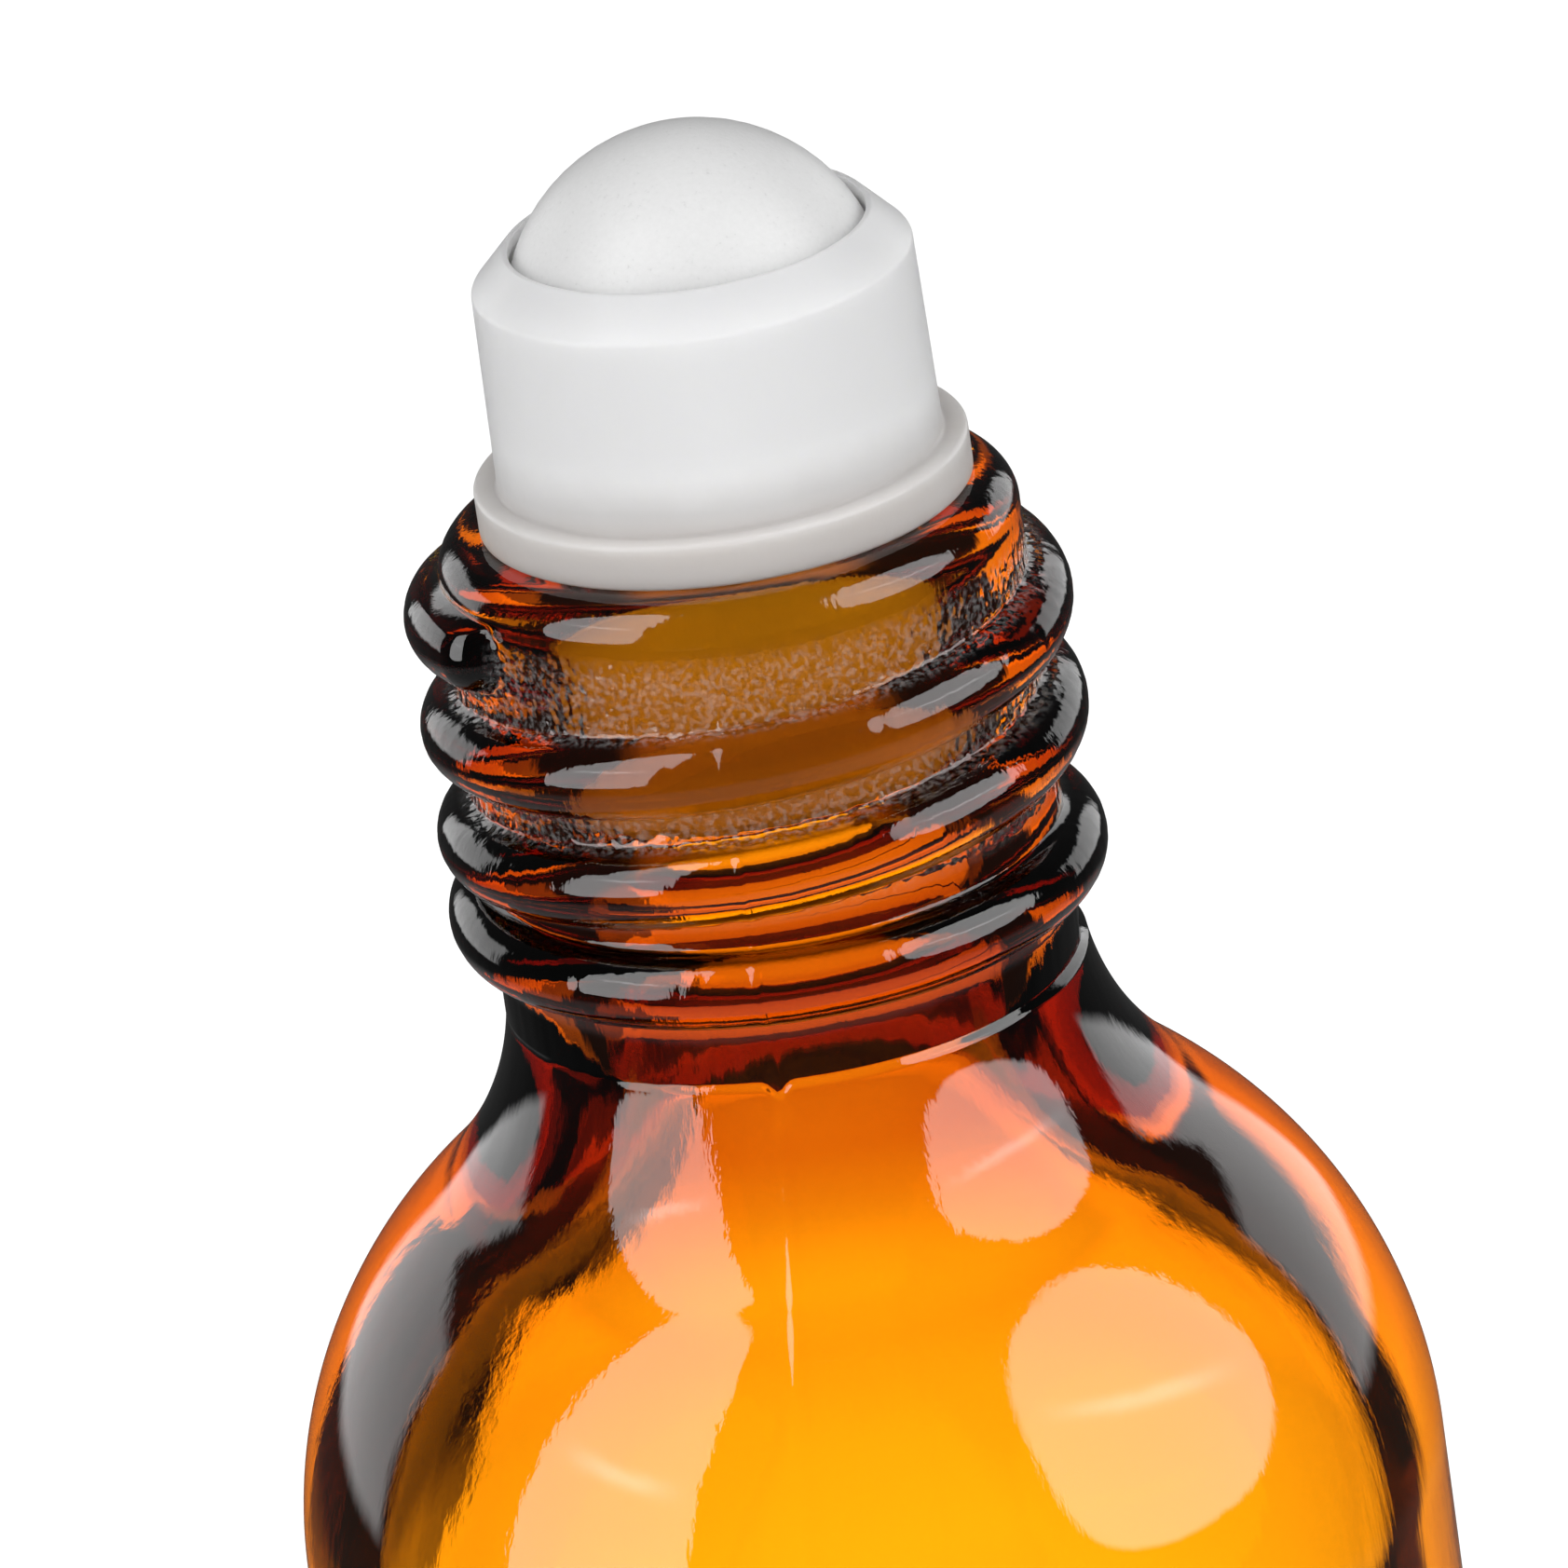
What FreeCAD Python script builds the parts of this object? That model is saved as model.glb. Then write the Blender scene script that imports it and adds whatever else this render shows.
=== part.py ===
import FreeCAD, Part
import os

import Sketcher

# Roll-on bottle: a moulded amber glass bottle, the roller housing pressed into its neck, and the ball.
# Millimetres, +Z up. The origin is the middle of the base, on the surface that the bottle stands on.

# Driving dimensions, one cell each.
SIZES = {
    # Glass body
    "glass_height": 79.0,
    "body_diameter": 31.34,
    "body_wall": 2.2,
    "base_thickness": 2.8,
    "push_up": 1.2,
    "rest_width": 1.6,
    "heel_radius": 2.6,
    "inner_heel_radius": 1.8,
    "inner_flare_radius": 8.0,
    "inner_drop": 1.5,
    "shoulder_radius": 13.75,
    "flare_radius": 8.46,
    # Glass neck, and the bead under the stretch that carries the screw thread
    "bore_diameter": 10.7,
    "neck_wall": 2.5,
    "rim_radius": 1.1,
    "mouth_radius": 0.4,
    "bead_depth": 10.85,
    "bead_height": 1.1,
    "collar_height": 1.72,
    "parting_drop": 1.18,
    # Roller ball
    "ball_diameter": 10.27,
    "ball_clearance": 0.12,
    # Roller housing
    "cup_wall": 0.68,
    "cup_draft": 0.9,
    "seat_diameter": 6.6,
    "seat_height": 1.22,
    "seat_angle": 45.0,
    "seat_thickness": 1.0,
    "lip_overlap": 0.27,
    "lip_land": 0.4,
    "lip_width": 0.12,
    "bevel_angle": 42.0,
    "corner_break": 0.25,
    "flange_ledge": 0.65,
    "flange_thickness": 1.27,
    "flange_break": 0.25,
    "plug_length": 7.6,
    "plug_clearance": 0.2,
    "plug_wall": 1.0,
    "lead_length": 0.5,
    "lead_in": 0.3,
    "seal_count": 2,
    "seal_clearance": 0.04,
    "seal_width": 0.9,
}

# Sizes that follow from the driving ones. The shoulder and the flare are arcs that touch each other,
# the straight body below and the neck above, so the height of the body's straight wall is worked out here.
# The hollow has its own pair of arcs, set lower, which leaves the glass thicker at the shoulder and the neck.
DERIVED = {
    # Glass, outside
    "body_radius": "=sizes.body_diameter / 2",
    "bore_radius": "=sizes.bore_diameter / 2",
    "neck_radius": "=bore_radius + sizes.neck_wall",
    "bead_level": "=sizes.glass_height - sizes.bead_depth",
    "flare_level": "=bead_level - sizes.collar_height",
    "flare_centre": "=neck_radius + sizes.flare_radius",
    "shoulder_centre": "=body_radius - sizes.shoulder_radius",
    "meet_cosine": "=(flare_centre - shoulder_centre) / (sizes.shoulder_radius + sizes.flare_radius)",
    "meet_angle": "=acos(meet_cosine) / 1 deg",
    "meet_sine": "=sqrt(1 - meet_cosine ^ 2)",
    "shoulder_level": "=flare_level - (sizes.shoulder_radius + sizes.flare_radius) * meet_sine",
    "parting_level": "=flare_level - sizes.parting_drop",
    "parting_angle": "=asin(sizes.parting_drop / sizes.flare_radius) / 1 deg",
    "rest_radius": "=body_radius - sizes.heel_radius",
    "recess_radius": "=rest_radius - sizes.rest_width",
    # Glass, inside
    "floor_level": "=sizes.push_up + sizes.base_thickness",
    "inner_radius": "=body_radius - sizes.body_wall",
    "inner_shoulder": "=sizes.shoulder_radius - sizes.body_wall",
    "inner_shoulder_level": "=shoulder_level - sizes.inner_drop",
    "inner_flare_centre": "=bore_radius + sizes.inner_flare_radius",
    "inner_reach": "=inner_shoulder + sizes.inner_flare_radius",
    "inner_meet_cosine": "=(inner_flare_centre - shoulder_centre) / inner_reach",
    "inner_meet_angle": "=acos(inner_meet_cosine) / 1 deg",
    "inner_flare_level": "=inner_shoulder_level + inner_reach * sqrt(1 - inner_meet_cosine ^ 2)",
    # Ball and the cup round it
    "ball_radius": "=sizes.ball_diameter / 2",
    "cup_inner": "=ball_radius + sizes.ball_clearance",
    "seat_radius": "=sizes.seat_diameter / 2",
    "seat_level": "=sizes.glass_height + sizes.seat_height",
    "shelf_level": "=seat_level - sizes.seat_thickness",
    "seat_slope": "=tan(sizes.seat_angle * 1 deg)",
    "seat_top_level": "=seat_level + (cup_inner - seat_radius) / seat_slope",
    "ball_level": "=seat_level + cup_inner / sin(sizes.seat_angle * 1 deg) - seat_radius / seat_slope",
    "lip_radius": "=ball_radius - sizes.lip_overlap",
    "lip_rise": "=sqrt(cup_inner ^ 2 - lip_radius ^ 2)",
    "lip_edge_level": "=ball_level + lip_rise",
    "lip_root_level": "=lip_edge_level - (cup_inner - lip_radius) * lip_radius / lip_rise",
    "lip_level": "=lip_edge_level + sizes.lip_land",
    "lip_outer": "=lip_radius + sizes.lip_width",
    "cup_radius": "=cup_inner + sizes.cup_wall",
    "draft_slope": "=tan(sizes.cup_draft * 1 deg)",
    "bevel_slope": "=tan(sizes.bevel_angle * 1 deg)",
    "bevel_run": "=cup_radius - lip_outer - (lip_level - ball_level) * draft_slope",
    "corner_drop": "=bevel_run / (bevel_slope - draft_slope)",
    "corner_level": "=lip_level - corner_drop",
    "corner_radius": "=lip_outer + corner_drop * bevel_slope",
    "break_foot": "=corner_radius + sizes.corner_break * draft_slope",
    "break_head": "=corner_radius - sizes.corner_break * bevel_slope",
    "flange_level": "=sizes.glass_height + sizes.flange_thickness",
    "foot_radius": "=cup_radius + (ball_level - flange_level) * draft_slope",
    "flange_radius": "=foot_radius + sizes.flange_ledge",
    # Plug and its sealing beads
    "plug_level": "=sizes.glass_height - sizes.plug_length",
    "plug_radius": "=bore_radius - sizes.plug_clearance",
    "lead_radius": "=plug_radius - sizes.lead_in",
    "lead_level": "=plug_level + sizes.lead_length",
    "stem_radius": "=plug_radius - sizes.plug_wall",
    "seal_pitch": "=(sizes.plug_length - sizes.lead_length) / sizes.seal_count",
    "seal_level": "=sizes.glass_height - seal_pitch / 2",
    "seal_crest": "=bore_radius - sizes.seal_clearance",
}

# How many flat steps a rounding gets. Those of the outer shoulder and flare leave the true arc by less than
# 0.02 mm, those of the hollow by less than 0.4 mm.
SHOULDER_STEPS = 9
FLARE_STEPS = 7
HEEL_STEPS = 3
INNER_HEEL_STEPS = 2
INNER_SHOULDER_STEPS = 2
INNER_FLARE_STEPS = 2
BEAD_STEPS = 5
RIM_STEPS = 2

doc = FreeCAD.newDocument("roll_on_bottle")


def fill_sheet(name, rows):
    """Makes a sheet with one named value a row."""
    sheet = doc.addObject("Spreadsheet::Sheet", name)
    for row, (alias, content) in enumerate(rows.items(), start=1):
        sheet.set(f"A{row}", alias)
        sheet.set(f"B{row}", str(content))
        sheet.setAlias(f"B{row}", alias)
    doc.recompute()
    return sheet


sizes = fill_sheet("sizes", SIZES)
derived = fill_sheet("derived", DERIVED)


def value(expression):
    """The present value of an expression over the two sheets."""
    return float(derived.evalExpression(expression))


def make_body(name):
    """A body whose label names its file."""
    body = doc.addObject("PartDesign::Body", name)
    body.Label = name
    return body


def origin_plane(body, role):
    """One of a body's own origin planes."""
    return next(item for item in body.Origin.OriginFeatures if item.Role == role)


def attach(item, body, role):
    """Lays a sketch or a primitive on one of its body's origin planes."""
    item.AttachmentSupport = (origin_plane(body, role), [""])
    item.MapMode = "FlatFace"


def bind(sketch, constraint, expression):
    """Adds a dimension to a sketch and ties it to the sheets."""
    index = sketch.addConstraint(constraint)
    sketch.setExpression(f"Constraints[{index}]", expression)


def place_point(sketch, geometry, end, radius, level):
    """Fixes a sketch point at a distance from the axis and a height, both given as expressions."""
    if radius == "0":
        sketch.addConstraint(Sketcher.Constraint("PointOnObject", geometry, end, -2))
    else:
        bind(sketch, Sketcher.Constraint("DistanceX", -1, 1, geometry, end, value(radius)), radius)
    if level == "0":
        sketch.addConstraint(Sketcher.Constraint("PointOnObject", geometry, end, -1))
    else:
        bind(sketch, Sketcher.Constraint("DistanceY", -1, 1, geometry, end, value(level)), level)


def half_section(body, name, corners):
    """Sketches a closed half-section through its corners, each a radius and a height given as expressions."""
    sketch = body.newObject("Sketcher::SketchObject", name)
    attach(sketch, body, "XZ_Plane")
    points = [FreeCAD.Vector(value(radius), value(level), 0) for radius, level in corners]
    count = len(corners)
    for number in range(count):
        sketch.addGeometry(Part.LineSegment(points[number], points[(number + 1) % count]))
    for number, (radius, level) in enumerate(corners):
        sketch.addConstraint(Sketcher.Constraint("Coincident", number, 2, (number + 1) % count, 1))
        place_point(sketch, number, 1, radius, level)
    return sketch


def turn_solid(body, name, corners):
    """Revolves a half-section about the axis."""
    feature = body.newObject("PartDesign::Revolution", name)
    feature.Profile = half_section(body, f"{name}_section", corners)
    feature.ReferenceAxis = (feature.Profile[0], ["V_Axis"])
    feature.Angle = 360
    doc.recompute()
    return feature


def turn_hollow(body, name, corners):
    """Cuts a revolved half-section out of a body, and makes sure that it took material away."""
    before = body.Shape.Volume
    feature = body.newObject("PartDesign::Groove", name)
    feature.Profile = half_section(body, f"{name}_section", corners)
    feature.ReferenceAxis = (feature.Profile[0], ["V_Axis"])
    feature.Angle = 360
    doc.recompute()
    if feature.Shape.Volume >= before:
        raise RuntimeError(f"{name} cut nothing")
    return feature


def chords(centre_radius, centre_level, radius, first, last, count):
    """Corners along a rounding, between two angles about its centre.

    A rounding is kept as flat steps, so that the model stays light."""
    corners = []
    for step in range(count + 1):
        angle = f"({first} + ({last} - ({first})) * {step} / {count}) * 1 deg"
        corners.append((
            f"{centre_radius} + {radius} * cos({angle})",
            f"{centre_level} + {radius} * sin({angle})",
        ))
    return corners


def break_edge(body, name, radius, level, width):
    """Bevels the circular edge of the given radius and height."""
    base = body.Tip
    wanted_radius = value(radius)
    wanted_level = value(level)
    names = []
    for number, edge in enumerate(base.Shape.Edges, start=1):
        curve = edge.Curve
        if not isinstance(curve, Part.Circle):
            continue
        off = abs(curve.Radius - wanted_radius) + abs(curve.Center.z - wanted_level)
        if off < 1e-4:
            names.append(f"Edge{number}")
    bevel = body.newObject("PartDesign::Chamfer", name)
    bevel.Base = (base, names)
    bevel.setExpression("Size", width)
    doc.recompute()
    return bevel


def make_bottle():
    """The glass: a turned outside with a bead on the neck, and the hollow inside."""
    body = make_body("glass_bottle")
    rim_centre = "derived.neck_radius - sizes.rim_radius"
    rim_level = "sizes.glass_height - sizes.rim_radius"
    turn_solid(body, "outside", [
        ("0", "sizes.push_up"),
        ("derived.recess_radius", "sizes.push_up"),
        ("derived.recess_radius", "0"),
        *chords("derived.rest_radius", "sizes.heel_radius", "sizes.heel_radius", "-90", "0", HEEL_STEPS),
        *chords("derived.shoulder_centre", "derived.shoulder_level", "sizes.shoulder_radius",
                "0", "derived.meet_angle", SHOULDER_STEPS),
        *chords("derived.flare_centre", "derived.flare_level", "sizes.flare_radius",
                "180 + derived.meet_angle", "180 + derived.parting_angle", FLARE_STEPS)[1:],
        ("derived.neck_radius", "derived.parting_level"),
        *chords("derived.neck_radius", "derived.bead_level", "sizes.bead_height", "-90", "90", BEAD_STEPS),
        *chords(rim_centre, rim_level, "sizes.rim_radius", "0", "90", RIM_STEPS),
        ("0", "sizes.glass_height"),
    ])
    inner_heel = "derived.inner_radius - sizes.inner_heel_radius"
    mouth_centre = "derived.bore_radius + sizes.mouth_radius"
    mouth_level = "sizes.glass_height - sizes.mouth_radius"
    turn_hollow(body, "inside", [
        ("0", "derived.floor_level"),
        *chords(inner_heel, "derived.floor_level + sizes.inner_heel_radius", "sizes.inner_heel_radius",
                "-90", "0", INNER_HEEL_STEPS),
        *chords("derived.shoulder_centre", "derived.inner_shoulder_level", "derived.inner_shoulder",
                "0", "derived.inner_meet_angle", INNER_SHOULDER_STEPS),
        *chords("derived.inner_flare_centre", "derived.inner_flare_level", "sizes.inner_flare_radius",
                "180 + derived.inner_meet_angle", "180", INNER_FLARE_STEPS)[1:],
        *chords(mouth_centre, mouth_level, "sizes.mouth_radius", "180", "90", 1),
        ("0", "sizes.glass_height"),
    ])
    return body


def make_housing():
    """The moulding that holds the ball: a hollow plug with sealing beads, a flange and a cup with a lip."""
    body = make_body("roller_housing")
    turn_solid(body, "moulding", [
        ("0", "derived.plug_level"),
        ("derived.lead_radius", "derived.plug_level"),
        ("derived.plug_radius", "derived.lead_level"),
        ("derived.plug_radius", "sizes.glass_height"),
        ("derived.flange_radius", "sizes.glass_height"),
        ("derived.flange_radius", "derived.flange_level"),
        ("derived.foot_radius", "derived.flange_level"),
        ("derived.break_foot", "derived.corner_level - sizes.corner_break"),
        ("derived.break_head", "derived.corner_level + sizes.corner_break"),
        ("derived.lip_outer", "derived.lip_level"),
        ("0", "derived.lip_level"),
    ])
    break_edge(body, "flange_edge", "derived.flange_radius", "derived.flange_level", "sizes.flange_break")
    seal = turn_solid(body, "seal_bead", [
        ("derived.stem_radius", "derived.seal_level - sizes.seal_width / 2"),
        ("derived.plug_radius", "derived.seal_level - sizes.seal_width / 2"),
        ("derived.seal_crest", "derived.seal_level"),
        ("derived.plug_radius", "derived.seal_level + sizes.seal_width / 2"),
        ("derived.stem_radius", "derived.seal_level + sizes.seal_width / 2"),
    ])
    repeat_seal(body, seal)
    turn_hollow(body, "passage", [
        ("0", "derived.plug_level"),
        ("derived.stem_radius", "derived.plug_level"),
        ("derived.stem_radius", "derived.shelf_level"),
        ("derived.seat_radius", "derived.shelf_level"),
        ("derived.seat_radius", "derived.seat_level"),
        ("derived.cup_inner", "derived.seat_top_level"),
        ("derived.cup_inner", "derived.lip_root_level"),
        ("derived.lip_radius", "derived.lip_edge_level"),
        ("derived.lip_radius", "derived.lip_level"),
        ("0", "derived.lip_level"),
    ])
    return body


def repeat_seal(body, seal):
    """Repeats the sealing bead down the plug."""
    axis = next(item for item in body.Origin.OriginFeatures if item.Role == "Z_Axis")
    pattern = body.newObject("PartDesign::LinearPattern", "seal_beads")
    pattern.Originals = [seal]
    pattern.Direction = (axis, [""])
    pattern.Reversed = True
    pattern.Mode = "Spacing"
    pattern.setExpression("Offset", "derived.seal_pitch")
    pattern.setExpression("Occurrences", "round(sizes.seal_count)")
    body.Tip = pattern
    doc.recompute()


def make_ball():
    """The ball, level with the middle of the cup."""
    ball = doc.addObject("Part::Sphere", "roller_ball")
    ball.Label = "roller_ball"
    ball.setExpression("Radius", "derived.ball_radius")
    ball.setExpression("Placement.Base.z", "derived.ball_level")
    doc.recompute()
    return ball


def write_parts(parts):
    """Checks every feature and every piece, then writes one file for each piece."""
    for item in doc.Objects:
        if "Invalid" in item.State or "Error" in item.State:
            raise RuntimeError(f"{item.Name} failed: {item.State}")
    for part in parts:
        if part.Shape.isNull() or not part.Shape.isValid() or len(part.Shape.Solids) != 1:
            raise RuntimeError(f"{part.Label} is not one sound solid")
    os.makedirs("parts", exist_ok=True)
    for part in parts:
        part.Shape.exportStep(f"parts/{part.Label}.step")
        print(part.Label, f"{part.Shape.Volume:.1f} mm3", len(part.Shape.Faces), "faces")


write_parts([make_bottle(), make_housing(), make_ball()])
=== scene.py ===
import math

import bpy
import numpy as np
from mathutils import Matrix, Vector, noise


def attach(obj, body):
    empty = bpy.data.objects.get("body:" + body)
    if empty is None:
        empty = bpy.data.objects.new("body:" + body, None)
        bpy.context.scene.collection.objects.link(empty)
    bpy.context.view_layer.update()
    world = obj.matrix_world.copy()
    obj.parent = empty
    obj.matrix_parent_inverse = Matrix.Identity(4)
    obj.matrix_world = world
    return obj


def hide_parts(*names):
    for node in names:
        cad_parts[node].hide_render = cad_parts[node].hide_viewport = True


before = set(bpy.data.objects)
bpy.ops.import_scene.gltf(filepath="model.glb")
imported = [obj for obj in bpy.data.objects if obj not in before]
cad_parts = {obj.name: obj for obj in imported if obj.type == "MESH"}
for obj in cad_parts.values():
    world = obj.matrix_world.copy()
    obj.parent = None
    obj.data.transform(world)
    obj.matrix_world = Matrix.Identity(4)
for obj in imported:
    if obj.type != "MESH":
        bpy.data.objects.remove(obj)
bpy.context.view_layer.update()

MM = 0.001

# Sizes of the glass in millimetres. The base stands on height 0.
# Radii:
BODY = 15.67
NECK = 7.85
BORE = 5.35
REST_EDGE = 11.7
# Roundings of the outside and of the hollow:
HEEL = 2.6
SHOULDER = 13.75
FLARE = 8.46
RIM_ROUND = 1.1
MOUTH_ROUND = 0.4
INNER_HEEL = 1.8
INNER_FLARE = 8.0
# Thickness of the wall, and how far the hollow's shoulder lies under the outer one:
WALL = 2.2
INNER_DROP = 1.5
# Heights:
PUSH_UP = 1.2
FLOOR = 4.0
PARTING = 65.25
FLARE_LEVEL = 66.43
BEAD_LEVEL = 68.15
RIM = 79.0

# The arcs of shoulder and flare touch at MEET degrees above the level of their centres
SHOULDER_CENTRE = BODY - SHOULDER
FLARE_CENTRE = NECK + FLARE
MEET = math.degrees(math.acos((FLARE_CENTRE - SHOULDER_CENTRE) / (SHOULDER + FLARE)))
SHOULDER_LEVEL = FLARE_LEVEL - (SHOULDER + FLARE) * math.sin(math.radians(MEET))

# The bead and the screw thread, in millimetres and turns
BEAD = 1.1
RIDGE = 1.08
RIDGE_ROUND = 1.14
PITCH = 3.14
TURNS = 2.2
THREAD_TOP = RIM - 1.97
THREAD_START = math.radians(205)
BEAD_FILLET = 0.25
ROOT_FILLET = 0.3
FOOT_SLOPE = 0.5

# What the mould leaves on the glass: a seam, its notch in the parting line, and a shifted neck
SEAM = math.radians(-97)
SEAM_WIDTH = 0.011
SEAM_RAISE = 0.06
NOTCH_WIDTH = 0.03
NOTCH_DROP = 0.35
NOTCH_REACH = 1.2
NECK_SHIFT = -0.1

# Unevenness of each stretch: height in millimetres, seed, fineness round the axis and along it
OUTSIDE_WAVES = ((0.02, 3.1, 1.6, 0.12), (0.006, 8.7, 9.0, 0.15))
NECK_WAVES = ((0.022, 5.3, 3.0, 0.25), (0.011, 1.9, 26.0, 0.5))
RIM_WAVES = ((0.012, 2.2, 4.0, 0.3),)
INSIDE_WAVES = ((0.07, 11.4, 1.3, 0.09), (0.008, 6.6, 6.0, 0.25))
HOUSING_WAVES = ((0.012, 4.4, 1.1, 0.1),)
LIP_WAVES = ((0.02, 9.9, 2.0, 0),)
LIP_RISES = ((0.03, 7.7, 1.7, 0),)

# Steps of the meshes: round the axis, up the neck, and the longest ones along the base and housing
GLASS_STEPS = 400
HOUSING_STEPS = 256
NECK_ROW = 0.072
BASE_ROW = 1.6
HOUSING_ROW = 0.5

# Colours
AMBER = (0.918, 0.775, 0.0, 1)
# Painted shade on the neck's glass below the plug, darker and redder
NECK_PAINTED_SHADE = (0.70, 0.42, 0.27, 1)
# Painted shade on the flange, warm from the amber, in a deeper and a lighter step
FLANGE_PAINTED_SHADE = (0.66, 0.63, 0.61, 1)
FLANGE_PAINTED_HALF_SHADE = (0.71, 0.70, 0.695, 1)

# The soft boxes that glass and gloss see, in degrees. A higher power squares their corners.
RIGHT_BOX = {"middle": 67, "half_width": 30, "level": 27, "half_height": 28, "power": 2.6,
             "tilt": 0.4}
LEFT_BOX = {"middle": -61, "half_width": 20.5, "level": 30, "half_height": 38, "power": 5.0,
            "tilt": 0.0}

# The lamps: azimuth and elevation in degrees, then distance, width, height and power
LAMPS = {
    "box_left": (-55, 24, 0.7, 0.55, 0.65, 2.85),
    "box_right": (55, 24, 0.7, 0.55, 0.65, 2.85),
    "box_front": (0, 40, 0.8, 0.4, 0.4, 0.4),
    "box_top": (0, 80, 0.7, 0.5, 0.5, 1.2),
}


# Helpers for outlines and meshes

def fade(value, none, full):
    """0 at none, 1 at full, and straight between."""
    return min(1.0, max(0.0, (value - none) / (full - none)))


def arc(centre_r, centre_z, radius, first, last, count):
    """Points of an outline along an arc, angles in degrees."""
    angles = np.radians(np.linspace(first, last, count))
    return [(centre_r + radius * math.cos(a), centre_z + radius * math.sin(a)) for a in angles]


def line(start, finish, count):
    """Points of an outline along a straight stretch, without its first point."""
    shares = np.linspace(0, 1, count + 1)[1:]
    return [(start[0] + (finish[0] - start[0]) * s, start[1] + (finish[1] - start[1]) * s)
            for s in shares]


def rounded(corners, count=6):
    """An outline through corners (r, z, rounding), with each corner rounded by an arc."""
    points = []
    for index, (r, z, radius) in enumerate(corners):
        here = Vector((r, z))
        if radius == 0 or index in (0, len(corners) - 1):
            points.append((r, z))
            continue
        before = (Vector(corners[index - 1][:2]) - here).normalized()
        after = (Vector(corners[index + 1][:2]) - here).normalized()
        half = before.angle(after) / 2
        reach = radius / math.tan(half)
        centre = here + (before + after).normalized() * (radius / math.sin(half))
        start = here + before * reach - centre
        finish = here + after * reach - centre
        turn = math.atan2(start.x * finish.y - start.y * finish.x, start.dot(finish))
        first = math.atan2(start.y, start.x)
        for step in range(count + 1):
            a = first + turn * step / count
            points.append((centre.x + radius * math.cos(a), centre.y + radius * math.sin(a)))
    return points


def spread(points, longest):
    """Adds points so that no stretch of an outline is longer than the limit."""
    result = [points[0]]
    for start, finish in zip(points, points[1:]):
        length = math.hypot(finish[0] - start[0], finish[1] - start[1])
        result += line(start, finish, max(1, math.ceil(length / longest)))
    return result


def angles_round(count):
    """Equal steps round the axis, in radians."""
    return np.arange(count) * 2 * math.pi / count


def lathe(name, rows, count, closed=False):
    """A turned mesh from rows of radii and heights by angle. A row of zero radius is a pole."""
    angles = angles_round(count)
    cosines, sines = np.cos(angles), np.sin(angles)
    points, starts = [], []
    for radius, height in rows:
        starts.append(sum(len(p) for p in points))
        if np.max(radius) < 1e-9:
            points.append(np.array([[0, 0, float(np.mean(height))]]))
        else:
            points.append(np.stack([radius * cosines, radius * sines, height], axis=1))
    pairs = list(zip(range(len(rows) - 1), range(1, len(rows))))
    if closed:
        pairs.append((len(rows) - 1, 0))
    steps = [(j, (j + 1) % count) for j in range(count)]
    faces = []
    for low, high in pairs:
        a, b = starts[low], starts[high]
        if len(points[low]) == 1:
            faces += [(a, b + k, b + j) for j, k in steps]
        elif len(points[high]) == 1:
            faces += [(a + j, a + k, b) for j, k in steps]
        else:
            faces += [(a + j, a + k, b + k, b + j) for j, k in steps]
    mesh = bpy.data.meshes.new(name)
    mesh.from_pydata((np.concatenate(points) * MM).tolist(), [], faces)
    mesh.update()
    mesh.polygons.foreach_set("use_smooth", [True] * len(mesh.polygons))
    piece = bpy.data.objects.new(name, mesh)
    bpy.context.scene.collection.objects.link(piece)
    return piece


def smooth_max(a, b, width):
    """The larger of two heights, with a fillet where they cross."""
    share = np.clip(0.5 + 0.5 * (a - b) / width, 0, 1)
    return b + (a - b) * share + width * share * (1 - share)


def ripple(angles, level, waves):
    """Unevenness of a moulded piece on one row, as a sum of noises."""
    total = np.zeros(len(angles))
    for height, seed, fine, tall in waves:
        spots = [(math.cos(a) * fine, math.sin(a) * fine, level * tall + seed) for a in angles]
        total += height * np.array([noise.noise(spot) for spot in spots])
    return total


# The glass

def thread_height(angles, level):
    """How far the thread and the bead stand out of the neck at one height, for each angle."""
    nearest = np.full(len(angles), np.inf)
    start = np.mod(THREAD_START - angles, 2 * math.pi) / (2 * math.pi)
    for turn in range(-1, 4):
        at = start + turn
        held = np.clip(at, 0, TURNS)
        rise = level - (THREAD_TOP - PITCH * held)
        along = (at - held) * 2 * math.pi * NECK
        nearest = np.minimum(nearest, np.hypot(rise, along))
    sunk = RIDGE_ROUND - RIDGE
    crest = np.sqrt(np.maximum(RIDGE_ROUND ** 2 - nearest ** 2, 0))
    beyond = FOOT_SLOPE * (RIDGE_ROUND - nearest)
    ridge = np.where(nearest < RIDGE_ROUND, crest, beyond) - sunk
    off = abs(level - BEAD_LEVEL)
    bead = math.sqrt(BEAD ** 2 - off ** 2) if off < BEAD else FOOT_SLOPE * (BEAD - off)
    both = smooth_max(ridge, np.full(len(angles), bead), BEAD_FILLET)
    return smooth_max(both, np.zeros(len(angles)), ROOT_FILLET)


def seam_share(angles, width):
    """1 where the two halves of the mould met, in front and behind, and 0 away from there."""
    gap = np.minimum(np.abs(np.angle(np.exp(1j * (angles - SEAM)))),
                     np.abs(np.angle(np.exp(1j * (angles - SEAM - math.pi)))))
    return np.exp(-(gap / width) ** 2)


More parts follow.
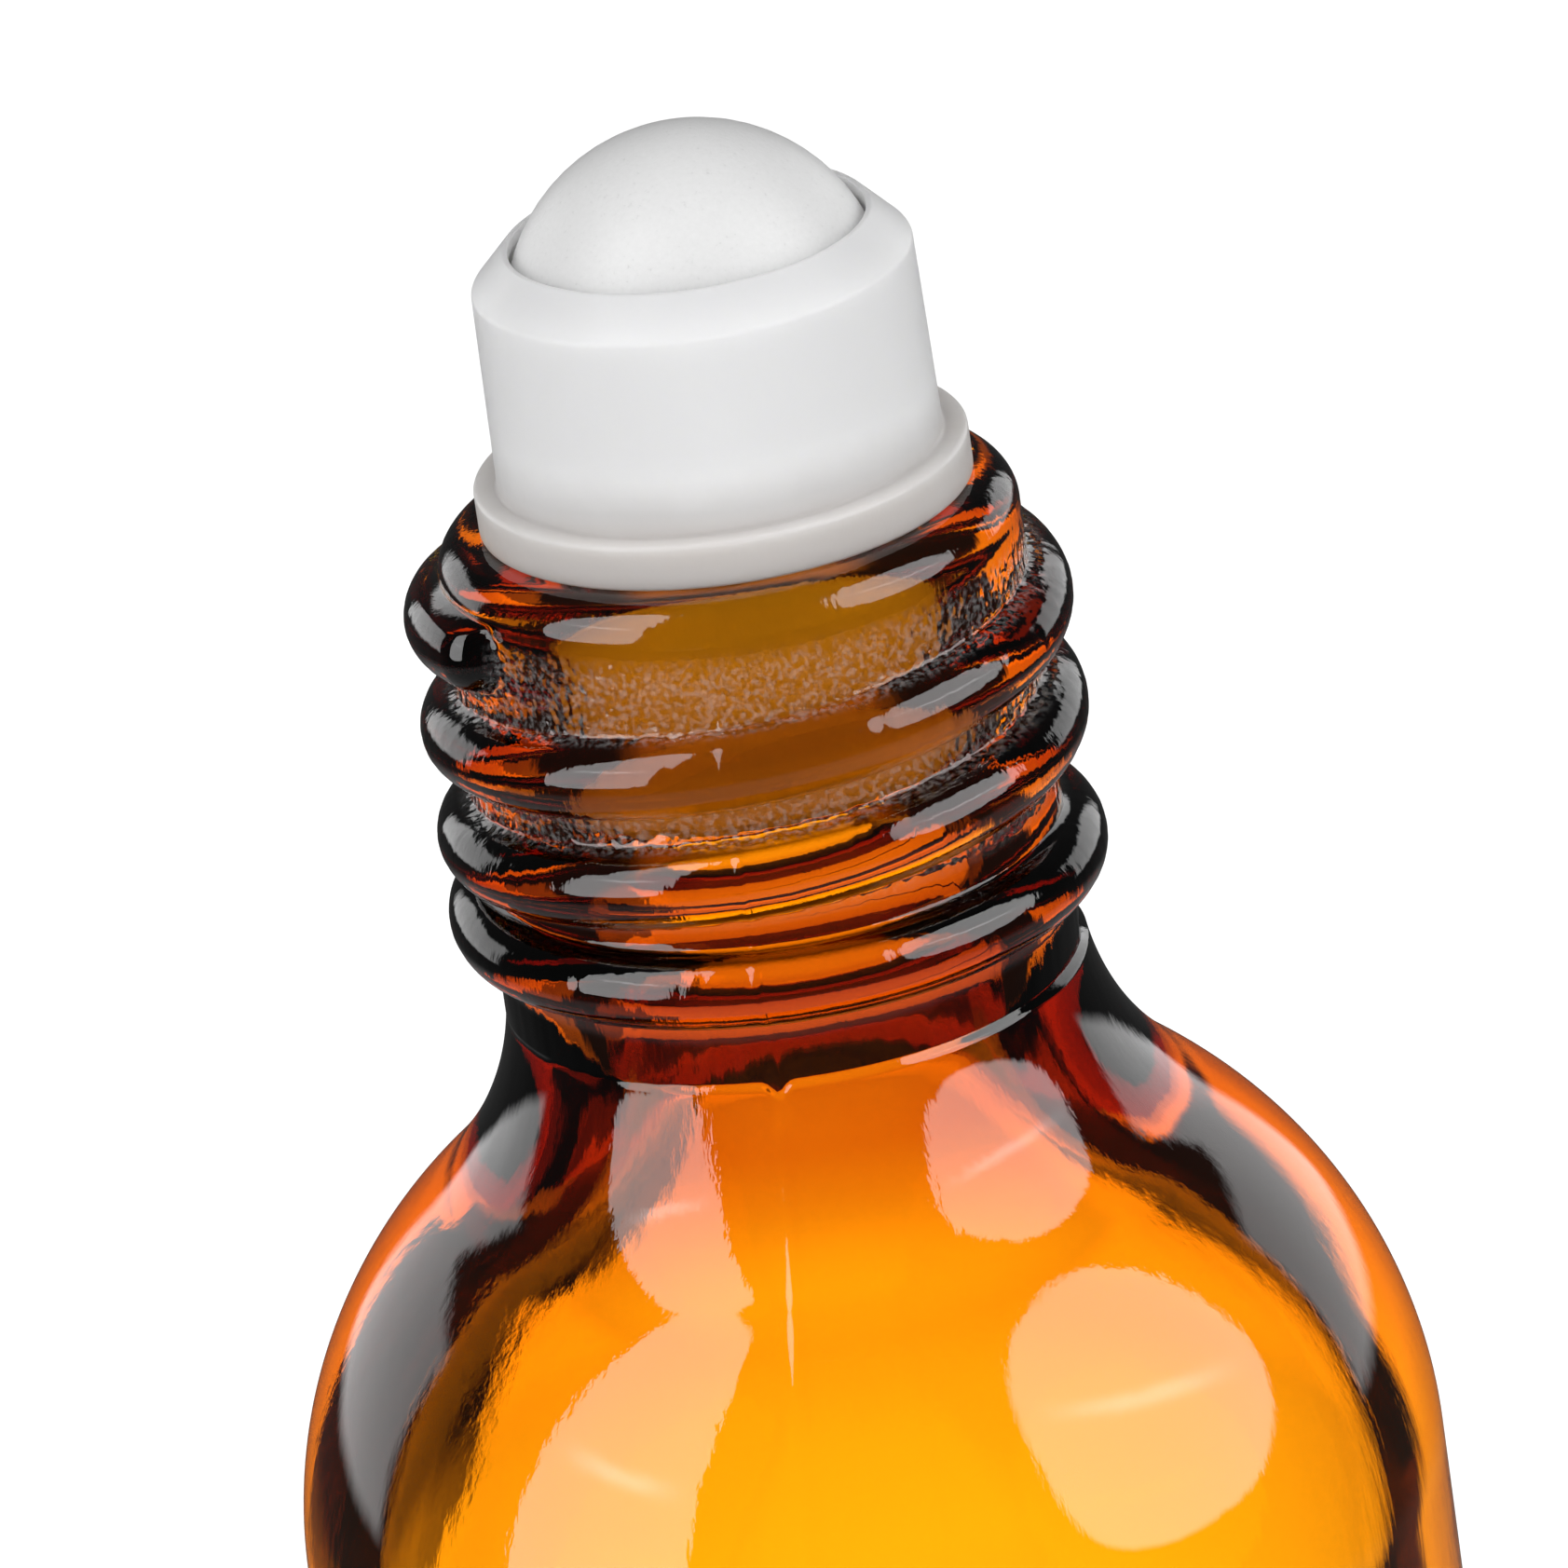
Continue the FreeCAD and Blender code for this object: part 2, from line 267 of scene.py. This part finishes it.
def outside_outline():
    """From the middle of the base up to the parting line."""
    parting_angle = 180 + math.degrees(math.asin((FLARE_LEVEL - PARTING) / FLARE))
    base = rounded([(0, PUSH_UP, 0), (REST_EDGE - 0.6, PUSH_UP, 0.5), (REST_EDGE, 0, 0.3),
                    (BODY - HEEL, 0, 0)])
    points = spread(base, BASE_ROW)
    points += arc(BODY - HEEL, HEEL, HEEL, -90, 0, 12)[1:]
    points += line((BODY, HEEL), (BODY, SHOULDER_LEVEL), 26)
    points += arc(SHOULDER_CENTRE, SHOULDER_LEVEL, SHOULDER, 0, MEET, 40)[1:]
    points += arc(FLARE_CENTRE, FLARE_LEVEL, FLARE, 180 + MEET, parting_angle, 36)[1:]
    return points


def rim_outline():
    """Over the rim into the mouth."""
    points = arc(NECK - RIM_ROUND, RIM - RIM_ROUND, RIM_ROUND, 0, 90, 16)
    points += line(points[-1], (BORE + MOUTH_ROUND, RIM), 3)
    points += arc(BORE + MOUTH_ROUND, RIM - MOUTH_ROUND, MOUTH_ROUND, 90, 180, 7)[1:]
    return points


def inside_outline(mouth):
    """Down the bore from the mouth to the middle of the floor."""
    wall = BODY - WALL
    shoulder = SHOULDER - WALL
    shoulder_level = SHOULDER_LEVEL - INNER_DROP
    flare_centre = BORE + INNER_FLARE
    meet = math.degrees(math.acos((flare_centre - SHOULDER_CENTRE) / (shoulder + INNER_FLARE)))
    flare_level = shoulder_level + (shoulder + INNER_FLARE) * math.sin(math.radians(meet))
    points = line(mouth, (BORE, flare_level), 30)
    points += arc(flare_centre, flare_level, INNER_FLARE, 180, 180 + meet, 30)[1:]
    points += arc(SHOULDER_CENTRE, shoulder_level, shoulder, meet, 0, 32)[1:]
    points += line((wall, shoulder_level), (wall, FLOOR + INNER_HEEL), 24)
    points += arc(wall - INNER_HEEL, FLOOR + INNER_HEEL, INNER_HEEL, 0, -90, 12)[1:]
    points += spread([(wall - INNER_HEEL, FLOOR), (0, FLOOR)], BASE_ROW)[1:]
    return points


def make_glass():
    """The bottle with its thread. Foot, bore and floor stay as plain as the solid has them."""
    count = GLASS_STEPS
    angles = angles_round(count)
    seam = SEAM_RAISE * seam_share(angles, SEAM_WIDTH)
    notch = NOTCH_DROP * seam_share(angles, NOTCH_WIDTH)
    shift = NECK_SHIFT * np.cos(angles)

    def notched(z):
        return z - notch * fade(abs(z - PARTING), NOTCH_REACH, 0.0)

    rows = []
    for r, z in outside_outline():
        above_foot = fade(z, 3.0, 7.0)
        rows.append((r + above_foot * (ripple(angles, z, OUTSIDE_WAVES) + seam), notched(z)))
    neck_top = RIM - RIM_ROUND
    for z in np.arange(PARTING + 0.06, neck_top, NECK_ROW):
        below_rim = fade(z, neck_top, neck_top - 0.5)
        stand = thread_height(angles, z) + below_rim * (ripple(angles, z, NECK_WAVES) + seam)
        rows.append((NECK + stand + shift, notched(z)))
    rim = rim_outline()
    for r, z in rim:
        off_bore = fade(r, BORE + MOUTH_ROUND, BORE + MOUTH_ROUND + 1.5)
        wave = ripple(angles, z, RIM_WAVES)
        rows.append((r + off_bore * (shift + wave), np.full(count, z)))
    for r, z in inside_outline(rim[-1]):
        free = fade(z, 70.5, 65.5) * fade(z, 4.2, 7.2)
        rows.append((r + free * ripple(angles, z, INSIDE_WAVES), np.full(count, z)))
    return lathe("bottle_glass", rows, count)


# The housing

def make_housing():
    """Cup, flange and plug. The plug and the flange's underside stay as plain as in the solid."""
    count = HOUSING_STEPS
    angles = angles_round(count)
    bore, plug, bead, flange, hole, seat, lip = 4.15, 5.15, 5.29, 6.65, 3.3, 5.255, 4.8
    plug_end, flange_under, flange_top, cup_floor, top = 71.4, 79.02, 80.27, 79.22, 86.73
    outline = rounded([
        # end of the plug
        (bore, plug_end, 0), (4.85, plug_end, 0.12), (plug, 71.95, 0.2),
        # two sealing beads
        (plug, 73.2, 0.15), (bead, 73.65, 0.25), (plug, 74.1, 0.15),
        (plug, 76.75, 0.15), (bead, 77.2, 0.25), (plug, 77.65, 0.15),
        # flange
        (plug, flange_under, 0.1), (flange, flange_under, 0.1), (flange, flange_top, 0.13),
        # cup with its draft, bevel and lip
        (6.0, flange_top, 0.12), (5.915, 85.7, 0.25), (4.95, top, 0.06),
        (lip, top, 0.05), (lip, 86.42, 0.06), (seat, 85.38, 0.4),
        # seat, hole and the inside of the plug
        (seat, 82.18, 0.4), (hole, 80.22, 0.1), (hole, cup_floor, 0.1),
        (bore, cup_floor, 0.2), (bore, plug_end, 0),
    ])[:-1]
    rows = []
    for r, z in spread(outline, HOUSING_ROW):
        near_lip = fade(z, 85.4, 86.6)
        wave = ripple(angles, z, HOUSING_WAVES) + near_lip * ripple(angles, 0, LIP_WAVES)
        plain = z < 78.9 or abs(z - flange_under) < 0.02
        rows.append((np.full(count, r) if plain else r + wave,
                     z + near_lip * ripple(angles, 0, LIP_RISES)))
    return lathe("housing_moulding", rows, count, closed=True)


# Materials

class Sums:
    """Builds sums out of math nodes."""

    def __init__(self, tree):
        self.nodes = tree.nodes
        self.links = tree.links

    def do(self, operation, *values):
        node = self.nodes.new("ShaderNodeMath")
        node.operation = operation
        for slot, item in zip(node.inputs, values):
            if isinstance(item, (int, float)):
                slot.default_value = item
            else:
                self.links.new(item, slot)
        return node.outputs[0]

    def add(self, first, *others):
        for item in others:
            first = self.do("ADD", first, item)
        return first

    def less(self, first, second):
        return self.do("SUBTRACT", first, second)

    def times(self, first, *others):
        for item in others:
            first = self.do("MULTIPLY", first, item)
        return first

    def rest(self, item):
        """What is missing to 1."""
        return self.less(1.0, item)

    def size(self, item):
        return self.do("ABSOLUTE", item)

    def step(self, item, low, high):
        """0 below low, 1 above high, smooth between."""
        node = self.nodes.new("ShaderNodeMapRange")
        node.interpolation_type = "SMOOTHSTEP"
        node.inputs["From Min"].default_value = low
        node.inputs["From Max"].default_value = high
        self.links.new(item, node.inputs["Value"])
        return node.outputs["Result"]

    def window(self, item, low, high, soft):
        """1 between low and high, 0 outside, with soft edges."""
        return self.times(self.step(item, low - soft, low + soft),
                          self.rest(self.step(item, high - soft, high + soft)))


def new_material(name):
    material = bpy.data.materials.new(name)
    material.use_nodes = True
    tree = material.node_tree
    place = tree.nodes.new("ShaderNodeTexCoord").outputs["Object"]
    return material, tree, tree.nodes["Principled BSDF"], place


def axes(tree, place):
    split = tree.nodes.new("ShaderNodeSeparateXYZ")
    tree.links.new(place, split.inputs[0])
    return split.outputs


def noise_node(tree, place, scale, detail, rough=0.55):
    node = tree.nodes.new("ShaderNodeTexNoise")
    node.inputs["Scale"].default_value = scale
    node.inputs["Detail"].default_value = detail
    node.inputs["Roughness"].default_value = rough
    tree.links.new(place, node.inputs["Vector"])
    return node.outputs["Fac"]


def grey(value):
    return value, value, value, 1


def ramp_node(tree, source, stops):
    node = tree.nodes.new("ShaderNodeValToRGB")
    elements = node.color_ramp.elements
    elements[0].position, elements[0].color = stops[0]
    elements[1].position, elements[1].color = stops[-1]
    for position, colour in stops[1:-1]:
        elements.new(position).color = colour
    tree.links.new(source, node.inputs["Fac"])
    return node.outputs["Color"]


def add_bump(tree, shader, height, strength, distance):
    node = tree.nodes.new("ShaderNodeBump")
    node.inputs["Strength"].default_value = strength
    node.inputs["Distance"].default_value = distance
    tree.links.new(height, node.inputs["Height"])
    tree.links.new(node.outputs["Normal"], shader.inputs["Normal"])


def glass_material():
    """Amber glass that absorbs, with streaks from the mould, grit in the thread's grooves, and
    painted shade that makes the neck below the plug darker and redder.
    """
    material, tree, shader, place = new_material("amber_glass")
    sums = Sums(tree)
    x, y, z = axes(tree, place)
    radius = sums.do("SQRT", sums.add(sums.times(x, x), sums.times(y, y)))
    outer = sums.step(radius, 6.0 * MM, 6.8 * MM)
    groove = sums.rest(sums.step(radius, 8.05 * MM, 8.4 * MM))
    shader.inputs["IOR"].default_value = 1.51

    haze = noise_node(tree, place, scale=900, detail=4)
    rough = ramp_node(tree, haze, [(0.45, grey(0.0)), (0.85, grey(0.03))])
    tree.links.new(rough, shader.inputs["Roughness"])

    # Painted shade: the glass of the neck below the plug gets a darker, redder colour
    shade_below_plug = sums.window(z, 61.2 * MM, 70.0 * MM, 1.2 * MM)
    painted_shade = ramp_node(tree, shade_below_plug, [(0.0, grey(1)), (1.0, NECK_PAINTED_SHADE)])
    tree.links.new(painted_shade, shader.inputs["Base Color"])

    squeeze = tree.nodes.new("ShaderNodeMapping")
    squeeze.inputs["Scale"].default_value = (1, 1, 0.1)
    tree.links.new(place, squeeze.inputs["Vector"])
    streaks = noise_node(tree, squeeze.outputs["Vector"], scale=2200, detail=3)
    patches = noise_node(tree, place, scale=160, detail=2)
    where = ramp_node(tree, patches, [(0.4, grey(0.25)), (0.62, grey(1))])
    on_neck = sums.add(0.3, sums.times(sums.step(z, 60 * MM, 67 * MM), 0.7))
    drawn = sums.times(streaks, where, on_neck)
    peel = noise_node(tree, place, scale=2300, detail=1)
    peel = sums.times(peel, sums.window(z, 70.2 * MM, 77.4 * MM, 0.4 * MM), groove)
    height = sums.times(sums.add(drawn, sums.times(peel, 3.5)), outer)
    add_bump(tree, shader, height, strength=1.0, distance=0.022 * MM)

    # Grit is a small matt share. The socket's own value is for readers that ignore the link.
    sand = noise_node(tree, place, scale=6000, detail=2)
    matt = sums.times(sums.step(sand, 0.4, 0.7), groove, outer)
    matt = sums.times(matt, sums.window(z, 70.2 * MM, 77.3 * MM, 0.4 * MM))
    shader.inputs["Transmission Weight"].default_value = 1
    tree.links.new(sums.rest(sums.times(matt, 0.14)), shader.inputs["Transmission Weight"])

    body = tree.nodes.new("ShaderNodeVolumeAbsorption")
    body.inputs["Color"].default_value = AMBER
    body.inputs["Density"].default_value = 1400
    tree.links.new(body.outputs["Volume"], tree.nodes["Material Output"].inputs["Volume"])
    return material


def plastic_material():
    """Milky plastic, white above and below, with painted shade that makes it darker and warmer at
    the flange, near the amber.
    """
    material, tree, shader, place = new_material("milky_plastic")
    sums = Sums(tree)
    z = axes(tree, place)["Z"]
    cloud = sums.times(sums.less(noise_node(tree, place, scale=260, detail=4), 0.5), 0.35)
    # Painted shade, warmed by the amber: the flange and the foot of the cup darken between the
    # white plug and the white cup; the cloud is tone that varies at random
    cup = sums.step(z, 79.6 * MM, 82.6 * MM)
    plug = sums.rest(sums.step(z, 78.2 * MM, 78.9 * MM))
    tint = ramp_node(tree, sums.add(cup, plug, cloud),
                     [(0.0, FLANGE_PAINTED_SHADE), (0.35, FLANGE_PAINTED_HALF_SHADE), (1.0, grey(0.985))])
    tree.links.new(tint, shader.inputs["Base Color"])
    shader.inputs["Subsurface Weight"].default_value = 1.0
    shader.inputs["Subsurface Radius"].default_value = (1.0, 1.0, 0.95)
    shader.inputs["Subsurface Scale"].default_value = 0.9 * MM
    shader.inputs["IOR"].default_value = 1.45
    grain = noise_node(tree, place, scale=2600, detail=3)
    rough = ramp_node(tree, grain, [(0.3, grey(0.34)), (0.7, grey(0.5))])
    tree.links.new(rough, shader.inputs["Roughness"])
    add_bump(tree, shader, grain, strength=0.12, distance=0.1 * MM)
    return material


def ball_material():
    """Frosted white plastic."""
    material, tree, shader, place = new_material("frosted_ball")
    sand = noise_node(tree, place, scale=7000, detail=3, rough=0.6)
    tint = ramp_node(tree, sand, [(0.22, grey(0.70)), (0.36, grey(0.82)), (0.75, grey(0.85))])
    tree.links.new(tint, shader.inputs["Base Color"])
    shader.inputs["Subsurface Weight"].default_value = 0.8
    shader.inputs["Subsurface Radius"].default_value = (1.0, 1.0, 1.0)
    shader.inputs["Subsurface Scale"].default_value = 2.5 * MM
    shader.inputs["Roughness"].default_value = 0.42
    add_bump(tree, shader, sand, strength=0.15, distance=0.08 * MM)
    return material


# Light, background and camera

def soft_box(sums, azimuth, elevation, middle, half_width, level, half_height, power, tilt):
    """A rounded soft box, with a brighter line across its middle."""
    cloth_light, tube_light = 5.2, 6.0
    aside = sums.less(azimuth, middle)
    across = sums.do("DIVIDE", aside, half_width)
    above = sums.less(elevation, level)
    rise = sums.do("DIVIDE", above, half_height)
    reach = sums.add(sums.do("POWER", sums.size(across), power),
                     sums.do("POWER", sums.size(rise), power))
    cloth = sums.rest(sums.step(reach, 0.92, 1.08))
    along = sums.add(above, sums.times(aside, tilt))
    tube = sums.times(sums.window(along, -1.2, 1.2, 2.4), sums.window(across, -0.55, 0.55, 0.4))
    return sums.add(sums.times(cloth, cloth_light), sums.times(tube, tube_light))


def mirrored_room(sums, boxes, behind, elevation):
    """What the outside of the pieces mirrors: the boxes, two pale strips behind and the table."""
    strip_light, table_light, room_light = 2.1, 0.28, 0.06
    strips = sums.times(sums.window(sums.size(behind), 25, 62, 2),
                        sums.window(elevation, -7, 21, 2))
    table = sums.rest(sums.step(elevation, -32, -22))
    return sums.add(boxes, sums.times(strips, strip_light), sums.times(table, table_light),
                    room_light)


def room_through_glass(sums, boxes, front, behind, elevation):
    """What shows through the glass: a bright card behind with a dimmer one at its left, the table
    in front and below, a lamp ahead above, the boxes, and a dark room."""
    card_light, table_light, box_light, lamp_light, room_light = 3.1, 0.9, 0.8, 8.0, 0.03
    # The card's left edge slants away below, and its top edge slants on the left
    depth = sums.do("MAXIMUM", sums.less(-12.0, elevation), 0.0)
    left = sums.step(sums.add(behind, sums.times(depth, 0.45)), -14.5, -11.5)
    right = sums.rest(sums.step(behind, 28, 36))
    slant = sums.times(sums.do("MINIMUM", behind, 0.0), 0.6)
    top = sums.rest(sums.step(sums.add(elevation, slant), -2, 4))
    foot = sums.step(elevation, -64, -50)
    brighter = sums.add(1.0, sums.times(sums.step(elevation, -12, -6), 0.4))
    card = sums.times(left, right, top, foot, brighter)
    side_card = sums.times(sums.window(behind, -45, -14, 4), sums.window(elevation, -45, -9, 3))
    near = sums.times(sums.step(sums.size(behind), 95, 125), sums.window(elevation, -50, -8, 6))
    below = sums.rest(sums.step(elevation, -68, -58))
    table = sums.do("MAXIMUM", near, below)
    lamp = sums.times(sums.rest(sums.step(sums.size(front), 30, 45)),
                      sums.window(elevation, 30, 70, 10))
    return sums.add(sums.times(card, card_light), side_card, sums.times(table, table_light),
                    sums.times(lamp, lamp_light), sums.times(boxes, box_light), room_light)


def make_world():
    """White for the camera and dim for matt surfaces. Glass and gloss see a studio."""
    matt_light = 0.12
    world = bpy.data.worlds.new("studio")
    bpy.context.scene.world = world
    world.use_nodes = True
    tree = world.node_tree
    tree.nodes.clear()
    sums = Sums(tree)
    x, y, z = axes(tree, tree.nodes.new("ShaderNodeTexCoord").outputs["Generated"])
    elevation = sums.do("DEGREES", sums.do("ARCSINE", z))
    front = sums.do("DEGREES", sums.do("ARCTAN2", x, sums.times(y, -1.0)))
    behind = sums.do("DEGREES", sums.do("ARCTAN2", x, y))
    boxes = sums.add(*(soft_box(sums, front, elevation, **box) for box in (RIGHT_BOX, LEFT_BOX)))
    mirrored = mirrored_room(sums, boxes, behind, elevation)
    through = room_through_glass(sums, boxes, front, behind, elevation)

    path = tree.nodes.new("ShaderNodeLightPath").outputs
    passed = path["Is Transmission Ray"]
    camera = path["Is Camera Ray"]
    clear = sums.do("MAXIMUM", path["Is Glossy Ray"], passed)
    room = sums.add(sums.times(passed, through), sums.times(sums.rest(passed), mirrored))
    seen = sums.add(sums.times(clear, room), sums.times(sums.rest(clear), matt_light))
    seen = sums.add(sums.times(sums.rest(camera), seen), camera)
    ground = tree.nodes.new("ShaderNodeBackground")
    tree.links.new(seen, ground.inputs["Strength"])
    ending = tree.nodes.new("ShaderNodeOutputWorld")
    tree.links.new(ground.outputs[0], ending.inputs["Surface"])


def make_floor():
    """A floor that glows white for the camera, and still shows the shadow."""
    half = 3.0
    mesh = bpy.data.meshes.new("floor")
    mesh.from_pydata([(-half, -half, 0), (half, -half, 0), (half, half, 0), (-half, half, 0)],
                     [], [(0, 1, 2, 3)])
    floor = bpy.data.objects.new("floor", mesh)
    bpy.context.scene.collection.objects.link(floor)
    material = bpy.data.materials.new("floor_paper")
    material.use_nodes = True
    nodes, links = material.node_tree.nodes, material.node_tree.links
    nodes.clear()
    sums = Sums(material.node_tree)
    camera = nodes.new("ShaderNodeLightPath").outputs["Is Camera Ray"]
    matt = nodes.new("ShaderNodeBsdfDiffuse")
    links.new(sums.less(0.8, sums.times(camera, 0.5)), matt.inputs["Color"])
    glow = nodes.new("ShaderNodeEmission")
    links.new(sums.times(camera, 0.95), glow.inputs["Strength"])
    both = nodes.new("ShaderNodeAddShader")
    links.new(matt.outputs[0], both.inputs[0])
    links.new(glow.outputs[0], both.inputs[1])
    ending = nodes.new("ShaderNodeOutputMaterial")
    links.new(both.outputs[0], ending.inputs["Surface"])
    mesh.materials.append(material)
    floor.visible_glossy = False
    floor.visible_transmission = False


def make_lamp(name, azimuth, elevation, distance, width, height, power):
    """A soft box that faces the neck, at an azimuth from the camera's side."""
    light = bpy.data.lights.new(name, "AREA")
    light.shape = "RECTANGLE"
    light.size = width
    light.size_y = height
    light.energy = power
    lamp = bpy.data.objects.new(name, light)
    bpy.context.scene.collection.objects.link(lamp)
    a, e = math.radians(azimuth), math.radians(elevation)
    aim = Vector((0, 0, 0.07))
    way = Vector((math.sin(a) * math.cos(e), -math.cos(a) * math.cos(e), math.sin(e)))
    lamp.location = aim + way * distance
    lamp.rotation_euler = (aim - lamp.location).to_track_quat("-Z", "Y").to_euler()
    lamp.visible_glossy = False
    lamp.visible_transmission = False


def make_camera():
    """The camera that was solved from the photo's outline of the neck, the flange and the ball.
    It stands at a distance and an elevation from the middle of the rim."""
    elevation, pitch, yaw, roll = (math.radians(a) for a in (20.69, 21.81, 0.06, 8.46))
    distance = 0.399
    focal_pixels, photo_pixels = 16053, 1683
    forward = Vector((math.sin(yaw) * math.cos(pitch), math.cos(yaw) * math.cos(pitch),
                      -math.sin(pitch)))
    level = Vector((math.cos(yaw), -math.sin(yaw), 0))
    down = forward.cross(level)
    right = level * math.cos(roll) + down * math.sin(roll)
    up = level * math.sin(roll) - down * math.cos(roll)
    lens = bpy.data.cameras.new("camera")
    lens.sensor_width = 36
    lens.sensor_fit = "HORIZONTAL"
    lens.lens = focal_pixels * lens.sensor_width / photo_pixels
    lens.clip_start = 0.01
    camera = bpy.data.objects.new("camera", lens)
    bpy.context.scene.collection.objects.link(camera)
    matrix = Matrix((right, up, -forward)).transposed().to_4x4()
    matrix.translation = Vector((0, -distance * math.cos(elevation),
                                 RIM * MM + distance * math.sin(elevation)))
    camera.matrix_world = matrix
    bpy.context.scene.camera = camera


def main():
    glass = make_glass()
    glass.data.materials.append(glass_material())
    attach(glass, "bottle")
    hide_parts("glass_bottle")

    housing = make_housing()
    housing.data.materials.append(plastic_material())
    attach(housing, "housing")
    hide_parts("roller_housing")

    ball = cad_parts["roller_ball"]
    ball.material_slots[0].material = ball_material()

    make_world()
    make_floor()
    for name, values in LAMPS.items():
        make_lamp(name, *values)
    make_camera()
    bpy.context.scene.view_settings.view_transform = "Standard"


main()
